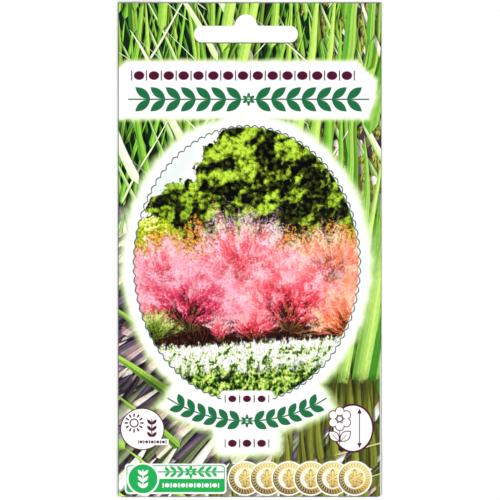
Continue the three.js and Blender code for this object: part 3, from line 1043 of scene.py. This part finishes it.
def coated(print_of):
    """Coated paper with a print: fairly smooth, with its roughness and a faint relief varying with its
    fibres.
    """

    def look(x, y):
        fibres = cloud(x, y, 0.35, 3.0, 0.6)
        return print_of(x, y), 0.24 + fibres * 0.12, fibres, 0.00001, 0.25

    return look


def raw_paper(x, y):
    """The sheet's uncoated inside and its cut edges."""
    fibres = cloud(x, y, 0.5, 4.0, 0.65)
    colour = mixed("e9e7de", "f6f5ef", fibres)
    return colour, 0.78 + fibres * 0.14, fibres, 0.00002, 0.4


def dried_glue(x, y):
    beads = cloud(x, y, 1.4, 3.0)
    colour = mixed("d9cfae", "f0ead6", beads)
    return colour, 0.3 + beads * 0.3, beads, 0.00002, 0.5


def seed_husk(x, y):
    """Dry seed husk: straw brown, darker in the grooves and in small blotches."""
    grooves = sine(y * 34.0) * 0.5 + 0.5
    shade = cloud(x, y, 0.6, 3.0) * 0.7 + grooves * 0.3
    colour = mixed("5d3f22", "c49a62", rise(shade, 0.25, 0.7))
    return colour, 0.6 + grooves * 0.2, grooves, 0.00002, 0.6


def pale_table(x, y):
    return mixed("f8f8f7", "fbfbfa", cloud(x, y, 60.0, 3.0)), 0.85


# ---- The folded sheet ----

FOLD_STEPS = 8
LAP_COLUMNS = 10
FRONT_COLUMNS = 80
BACK_COLUMNS = 40
FLAP_ROWS = 14
STEP_ROWS = 4
POUCH_ROWS = 108
HEADER_ROWS = 24
RIPPLE = 0.2
FACE_UPPER, FACE_LOWER, FACE_PICTURE, FACE_BACK, FACE_RAW = range(5)
# How far round a fold the front's print ends, in radians
PRINT_TURN = 1.8
MIDDLE_SEAM = 5

# The map for the print is the flat blank itself, with the plain inside and edges beside its flap
MAP_SPAN = 173.0
MAP_MARGIN = 1.0
INSIDE_CORNER = (94.0, 0.8)
INSIDE_SCALE = (0.44, 0.07)
EDGE_PATCH = ((2, 2), (8, 2), (8, 8), (2, 8))


def smooth(t):
    s = min(max(t, 0.0), 1.0)
    return s * s * (3 - 2 * s)


def steps(start, stop, count):
    return [start + (stop - start) * k / count for k in range(count + 1)]


def base_at(y):
    """Underside of the back panel, which climbs one step up onto the flap."""
    return PLY_STEP * min(max((FLAP_EDGE + STEP_RUN - y) / STEP_RUN, 0.0), 1.0)


def pillow_at(x, y):
    side = smooth(min(x - LEFT, RIGHT - x) / PILLOW_SIDE)
    foot = smooth((y - BOTTOM) / PILLOW_FOOT)
    head = smooth((HEADER_FOOT - y) / PILLOW_HEAD)
    return PILLOW * side * foot * head


def ripple_at(x, y):
    """The slight unevenness of handled paper, which dies out at the folds and the header."""
    calm = smooth(min(x - LEFT, RIGHT - x) / 9) * smooth((y - BOTTOM) / 9)
    calm *= smooth((HEADER_FOOT - y) / 14)
    broad = noise.noise(Vector((x / 19, y / 23, 3.1)))
    fine = noise.noise(Vector((x / 7, y / 9, 8.4)))
    return RIPPLE * calm * (broad + 0.25 * fine)


def front_at(x, y):
    """Mid-plane of the front panel, which steps down off the side lap."""
    seat = FRONT_LEFT + (FRONT_RIGHT - FRONT_LEFT) * smooth((x - RAMP_START) / LAP_RAMP)
    return base_at(y) + seat + pillow_at(x, y) + ripple_at(x, y) + PAPER / 2


def blank_columns():
    """The blank from side to side: zone, x or angle, and the distance across the flat blank."""
    lap = LAP_EDGE - LEFT
    front = lap + pi * LEFT_RADIUS
    right = front + RIGHT - LEFT
    back = right + pi * RIGHT_RADIUS
    columns = [("lap", x, LAP_EDGE - x) for x in steps(LAP_EDGE, LEFT, LAP_COLUMNS)[:-1]]
    for angle in steps(pi, 0, FOLD_STEPS):
        columns.append(("left fold", angle, lap + LEFT_RADIUS * (pi - angle)))
    for x in steps(LEFT + CORNER_NOTCH, RIGHT - CORNER_NOTCH, FRONT_COLUMNS):
        columns.append(("front", x, front + x - LEFT))
    for angle in steps(0, pi, FOLD_STEPS):
        columns.append(("right fold", angle, right + RIGHT_RADIUS * angle))
    for x in steps(RIGHT, BACK_EDGE, BACK_COLUMNS)[1:]:
        columns.append(("back", x, back + RIGHT - x))
    return columns


def blank_rows():
    """The blank from the flap's free edge, round the bottom fold and up the panels."""
    fold = FLAP_EDGE - BOTTOM
    panel = fold + pi * BOTTOM_REACH
    rows = [("flap", y, FLAP_EDGE - y) for y in steps(FLAP_EDGE, BOTTOM, FLAP_ROWS)[:-1]]
    for angle in steps(pi, 0, FOLD_STEPS):
        rows.append(("bottom fold", angle, fold + BOTTOM_REACH * (pi - angle)))
    heights = steps(LOW_EDGE, FLAP_EDGE, FLAP_ROWS)
    heights += steps(FLAP_EDGE, FLAP_EDGE + STEP_RUN, STEP_ROWS)[1:]
    heights += steps(FLAP_EDGE + STEP_RUN, HEADER_FOOT, POUCH_ROWS)[1:]
    heights += steps(HEADER_FOOT, TOP, HEADER_ROWS)[1:]
    return rows + [("panel", y, panel + y - BOTTOM) for y in heights]


def panel_point(zone, place_across, y):
    """A point on the middle of the sheet, and the way that its printed side faces."""
    if zone == "front":
        return (place_across, y, front_at(place_across, y)), (0, 0, 1)
    if zone == "back":
        return (place_across, y, base_at(y) + PAPER / 2), (0, 0, -1)
    if zone == "lap":
        cut = LAP_CUT * (place_across - LEFT) / (LAP_EDGE - LEFT)
        trimmed = min(max(y, LOW_EDGE + cut), TOP - cut)
        return (place_across, trimmed, base_at(y) + PLY_STEP + PAPER / 2), (0, 0, -1)
    side = sin(place_across)
    up = cos(place_across)
    if zone == "left fold":
        middle = base_at(y) + PAPER / 2 + PLY_STEP + LEFT_RADIUS
        return (LEFT - LEFT_RADIUS * side, y, middle + LEFT_RADIUS * up), (-side, 0, up)
    middle = base_at(y) + PAPER / 2 + RIGHT_RADIUS
    return (RIGHT + RIGHT_RADIUS * side, y, middle + RIGHT_RADIUS * up), (side, 0, up)


def bottom_fold_point(x, angle):
    high = front_at(x, BOTTOM)
    rise_of_fold = (high - PAPER / 2) / 2
    out = Vector((0, -sin(angle) / BOTTOM_REACH, cos(angle) / rise_of_fold)).normalized()
    y = BOTTOM - BOTTOM_REACH * sin(angle)
    return (x, y, high - rise_of_fold + rise_of_fold * cos(angle)), out


def sheet_point(column, row):
    zone, place_across, _ = column
    row_zone, place_along, _ = row
    if row_zone == "panel":
        return panel_point(zone, place_across, place_along)
    x = {"left fold": LEFT, "right fold": RIGHT}.get(zone, place_across)
    if row_zone == "bottom fold":
        return bottom_fold_point(x, place_along)
    out = (place_along - BOTTOM) / FLAP_DEPTH
    return (x * (1 - FLAP_TAPER * out), place_along, PAPER / 2), (0, 0, -1)


class Blank:
    """The grid of the flat blank: which cells are paper, and what is printed on them."""

    def __init__(self):
        self.columns = blank_columns()
        self.rows = blank_rows()
        front = [i for i, column in enumerate(self.columns) if column[0] == "front"]
        self.first_front = front[0]
        self.last_front = front[-1]
        self.first_panel = next(j for j, row in enumerate(self.rows) if row[0] == "panel")

    def is_paper(self, i, j):
        if not (0 <= i < len(self.columns) - 1 and 0 <= j < len(self.rows) - 1):
            return False
        if j >= self.first_panel:
            return True
        if j == self.first_panel - 1:
            return self.first_front - 1 <= i <= self.last_front
        return self.first_front <= i < self.last_front

    def cells(self):
        for i in range(len(self.columns) - 1):
            for j in range(len(self.rows) - 1):
                if self.is_paper(i, j):
                    yield i, j

    def face(self, i, j):
        """The material of a printed cell."""
        zone, place_across, _ = self.columns[i]
        row_zone, place_along, _ = self.rows[j]
        if zone in ("lap", "back") or row_zone == "flap":
            return FACE_BACK
        turned = place_along if row_zone == "bottom fold" else place_across
        if (zone != "front" or row_zone == "bottom fold") and turned > PRINT_TURN:
            return FACE_BACK
        half = FACE_LOWER if row_zone == "bottom fold" or place_along < MIDDLE_SEAM else FACE_UPPER
        following = self.columns[i + 1]
        if zone != "front" or following[0] != "front" or row_zone == "bottom fold":
            return half
        a = ((place_across + following[1]) / 2 - OVAL_X) / (OVAL_WIDE + OVAL_MARGIN)
        b = (place_along + 0.5 - OVAL_Y) / (OVAL_HIGH + OVAL_MARGIN)
        return FACE_PICTURE if a * a + b * b < 1 else half


class Skin:
    """A mesh being made: its vertices, faces, their materials and their places on the map."""

    def __init__(self):
        self.vertices = []
        self.faces = []
        self.materials = []
        self.map = []

    def add(self, corners, material, places):
        self.faces.append(corners)
        self.materials.append(material)
        self.map.extend((u / MAP_SPAN, v / MAP_SPAN) for u, v in places)

    def mesh(self, name, materials):
        mesh = bpy.data.meshes.new(name)
        points = [[c * MM for c in point] for point in self.vertices]
        mesh.from_pydata(points, [], self.faces)
        for material in materials:
            mesh.materials.append(material)
        mesh.polygons.foreach_set("material_index", self.materials)
        layer = mesh.uv_layers.new(name="OFBake")
        layer.uv.foreach_set("vector", [c for place_on_map in self.map for c in place_on_map])
        mesh.update()
        return mesh


def folded_skin():
    """The whole sheet as one closed skin, folded up and as thick as the paper."""
    blank = Blank()
    skin = Skin()
    spots = {}

    def vertex(side, i, j):
        if (side, i, j) not in spots:
            point, out = sheet_point(blank.columns[i], blank.rows[j])
            spots[side, i, j] = len(skin.vertices)
            skin.vertices.append([p + side * o * PAPER / 2 for p, o in zip(point, out)])
        return spots[side, i, j]

    def printed_place(i, j):
        return blank.columns[i][2] + MAP_MARGIN, blank.rows[j][2] + MAP_MARGIN

    def inside_place(i, j):
        u = INSIDE_CORNER[0] + INSIDE_SCALE[0] * blank.columns[i][2]
        return u, INSIDE_CORNER[1] + INSIDE_SCALE[1] * blank.rows[j][2]

    def wall(a, b):
        corners = [vertex(-1, *a), vertex(-1, *b), vertex(1, *b), vertex(1, *a)]
        skin.add(corners, FACE_RAW, EDGE_PATCH)

    for i, j in blank.cells():
        ring = [(i, j), (i + 1, j), (i + 1, j + 1), (i, j + 1)]
        skin.add([vertex(1, *c) for c in ring], blank.face(i, j), [printed_place(*c) for c in ring])
        ring.reverse()
        skin.add([vertex(-1, *c) for c in ring], FACE_RAW, [inside_place(*c) for c in ring])
        for beside, edge in (
            ((i, j - 1), ((i, j), (i + 1, j))),
            ((i, j + 1), ((i + 1, j + 1), (i, j + 1))),
            ((i - 1, j), ((i, j + 1), (i, j))),
            ((i + 1, j), ((i + 1, j), (i + 1, j + 1))),
        ):
            if not blank.is_paper(*beside):
                wall(*edge)
    return skin


CORNER_STEPS = 12
FILLET_STEPS = 8
BUMP_STEPS = 28
PUNCH_LEVELS = (-2, 3)


def arc(cx, cy, radius, start, stop, count):
    return [(cx + radius * cos(a), cy + radius * sin(a)) for a in steps(start, stop, count)]


def slot_outline():
    """The hanging slot: a round-ended band with a round bump on its upper side."""
    half = SLOT_WIDTH / 2
    upper = TOP - SLOT_DROP
    lower = upper - SLOT_BAND
    r = SLOT_END_RADIUS
    bump_y = upper + BUMP_HEIGHT - BUMP_RADIUS
    fillet_y = upper + BUMP_FILLET
    reach = BUMP_RADIUS + BUMP_FILLET
    fillet_x = sqrt(reach**2 - (fillet_y - bump_y) ** 2)
    lean = atan2(fillet_y - bump_y, fillet_x)
    cx = SLOT_OFFSET
    turn = pi / 2
    outline = arc(cx + half - r, lower + r, r, -turn, 0, CORNER_STEPS)
    outline += arc(cx + half - r, upper - r, r, 0, turn, CORNER_STEPS)
    outline += arc(cx + fillet_x, fillet_y, BUMP_FILLET, -turn, lean - pi, FILLET_STEPS)
    outline += arc(cx, bump_y, BUMP_RADIUS, lean, pi - lean, BUMP_STEPS)[1:-1]
    outline += arc(cx - fillet_x, fillet_y, BUMP_FILLET, -lean, -turn, FILLET_STEPS)
    outline += arc(cx - half + r, upper - r, r, turn, 2 * turn, CORNER_STEPS)
    return outline + arc(cx - half + r, lower + r, r, 2 * turn, 3 * turn, CORNER_STEPS)


def punch_skin():
    """The solid that cuts the slot out of both panels."""
    outline = slot_outline()
    count = len(outline)
    skin = Skin()
    skin.vertices = [(x, y, z) for z in PUNCH_LEVELS for x, y in outline]
    patch = [EDGE_PATCH[k % 4] for k in range(count)]
    skin.add(list(range(count))[::-1], FACE_RAW, patch)
    skin.add(list(range(count, 2 * count)), FACE_RAW, patch)
    for k in range(count):
        after = (k + 1) % count
        skin.add([k, after, after + count, k + count], FACE_RAW, EDGE_PATCH)
    return skin


def add_object(name, data):
    thing = bpy.data.objects.new(name, data)
    bpy.context.scene.collection.objects.link(thing)
    return thing


def new_piece(name, mesh, slot):
    piece = add_object(name, mesh)
    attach(piece, "root")
    return piece


def make_sheet():
    prints = {"upper": upper_print, "lower": lower_print, "picture": picture_print, "back": back_print}
    materials = [make_material(f"printed_{name}", coated(prints[name]), 0.2) for name in prints]
    materials.append(make_material("raw_paper", raw_paper))
    sheet = new_piece("folded_sheet", folded_skin().mesh("folded_sheet", materials), "coated_paper")
    punch = add_object("punch", punch_skin().mesh("punch", materials))
    cut = sheet.modifiers.new("slot", "BOOLEAN")
    cut.operation = "DIFFERENCE"
    cut.solver = "EXACT"
    cut.material_mode = "INDEX"
    cut.object = punch
    ready = sheet.evaluated_get(bpy.context.evaluated_depsgraph_get())
    punched = bpy.data.meshes.new_from_object(ready)
    sheet.modifiers.clear()
    sheet.data = punched
    bpy.data.objects.remove(punch)
    punched.shade_smooth()
    punched.set_sharp_from_angle(angle=radians(40))
    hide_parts("packet_sheet")


# ---- What the packet holds, and its glue ----

HUSK_RINGS = 24
HUSK_SIDES = 32
HUSK_RIBS = 8
HUSK_BELLY = 0.4


def husk_radius(t):
    """Radius along a husk from its blunt foot to its drawn-out tip, as a share of the widest."""
    if t < HUSK_BELLY:
        return sqrt(1 - ((HUSK_BELLY - t) / HUSK_BELLY) ** 2)
    return 1 - smooth((t - HUSK_BELLY) / (1 - HUSK_BELLY)) ** 0.8


def husk_mesh(material):
    """A slender ribbed grass husk that lies along X."""
    points = [(-SEED_LENGTH / 2, 0, 0)]
    for k in range(1, HUSK_RINGS):
        t = k / HUSK_RINGS
        for m in range(HUSK_SIDES):
            angle = 2 * pi * m / HUSK_SIDES
            r = SEED_RADIUS * husk_radius(t) * (0.95 + 0.05 * cos(HUSK_RIBS * angle))
            x = SEED_LENGTH * (t - 0.5)
            points.append((x, r * cos(angle), r * sin(angle) * SEED_FLATNESS))
    points.append((SEED_LENGTH / 2, 0, 0))
    last = len(points) - 1
    faces = []
    for m in range(HUSK_SIDES):
        n = (m + 1) % HUSK_SIDES
        faces.append((0, 1 + n, 1 + m))
        for k in range(HUSK_RINGS - 2):
            a = 1 + k * HUSK_SIDES
            b = a + HUSK_SIDES
            faces.append((a + m, a + n, b + n, b + m))
        faces.append((last, last - HUSK_SIDES + m, last - HUSK_SIDES + n))
    mesh = bpy.data.meshes.new("husk")
    mesh.from_pydata([[c * MM for c in point] for point in points], [], faces)
    mesh.materials.append(material)
    mesh.shade_smooth()
    return mesh


def chances(state):
    """A repeatable run of numbers from 0 to 1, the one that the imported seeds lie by."""
    while True:
        state = (state * 1664525 + 1013904223) % 2**32
        yield state / 2**32


def make_seeds():
    chance = chances(11)
    material = make_material("seed_husk", seed_husk)
    for k in range(SEED_COLUMNS * SEED_ROWS):
        column = k % SEED_COLUMNS - (SEED_COLUMNS - 1) / 2
        row = k // SEED_COLUMNS - (SEED_ROWS - 1) / 2
        x = column * SEED_PITCH_X + (next(chance) * 2 - 1) * SEED_JITTER
        y = SEED_AREA_Y + row * SEED_PITCH_Y + (next(chance) * 2 - 1) * SEED_JITTER
        z = PAPER + SEED_SEAT + SEED_RADIUS * SEED_FLATNESS
        seed = new_piece(f"husk_{k + 1:02d}", husk_mesh(material), "seed_husk")
        seed.location = (x * MM, y * MM, z * MM)
        seed.rotation_euler.z = next(chance) * 2 * pi
        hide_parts(f"seed_{k + 1:02d}")


def finish_glue():
    material = make_material("dried_glue", dried_glue)
    for name in ("side_seam_glue", "bottom_flap_glue", "header_glue"):
        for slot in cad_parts[name].material_slots:
            slot.material = material


# ---- Camera, table and light ----

VIEW_SPAN = 151.55
VIEW_X = 0.12
VIEW_Y = -0.08
LENS = 135.0
SENSOR = 36.0
PANEL_LEVEL = 0.5
TABLE_REACH = 1500
TABLE_LEVEL = -0.02


def make_camera():
    """Straight above the packet, square to it."""
    data = bpy.data.cameras.new("camera")
    data.lens = LENS
    data.sensor_width = SENSOR
    camera = add_object("camera", data)
    height = VIEW_SPAN * LENS / SENSOR + PANEL_LEVEL
    camera.location = (VIEW_X * MM, VIEW_Y * MM, height * MM)
    bpy.context.scene.camera = camera


def make_table():
    reach = TABLE_REACH * MM
    around = ((-reach, -reach), (reach, -reach), (reach, reach), (-reach, reach))
    mesh = bpy.data.meshes.new("table")
    mesh.from_pydata([(x, y, TABLE_LEVEL * MM) for x, y in around], [], [(0, 1, 2, 3)])
    table = add_object("table", mesh)
    mesh.materials.append(make_material("pale_table", pale_table, 0.2))
    table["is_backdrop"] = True


# Each softbox: direction on the table in degrees, tilt from upright, power
SOFTBOXES = [(270, 46, 30.0), (30, 50, 18.0), (150, 50, 18.0), (210, 50, 12.0), (330, 50, 12.0)]
SOFTBOX_SIZE = 1.1
SOFTBOX_REACH = 2.5


def make_lights():
    """Five large softboxes round the table, all turned to the packet."""
    for turn, tilt, power in SOFTBOXES:
        data = bpy.data.lights.new("softbox", "AREA")
        data.shape = "SQUARE"
        data.size = SOFTBOX_SIZE
        data.energy = power
        light = add_object("softbox", data)
        a = radians(turn)
        t = radians(tilt)
        out = Vector((sin(t) * cos(a), sin(t) * sin(a), cos(t)))
        light.location = out * SOFTBOX_REACH
        light.rotation_euler = out.to_track_quat("Z", "Y").to_euler()


def make_room():
    """A room that is white at eye level and dimmer overhead, so dark inks stay dark from above."""
    world = bpy.data.worlds.new("room")
    bpy.context.scene.world = world
    world.use_nodes = True
    nodes = world.node_tree.nodes
    _, _, up = place_parts(nodes, "Generated")
    walls = mixed(grey(0.95), grey(0.45), rise(up, 0.11, 0.22))
    colour = mixed(walls, grey(0.1), rise(up, 0.12, 0.75))
    feed(nodes["Background"].inputs["Color"], colour)
    bpy.context.scene.view_settings.view_transform = "Standard"


make_camera()
make_table()
make_lights()
make_room()
make_sheet()
make_seeds()
finish_glue()


boxes = {"cad": cad_box, "visual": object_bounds()}
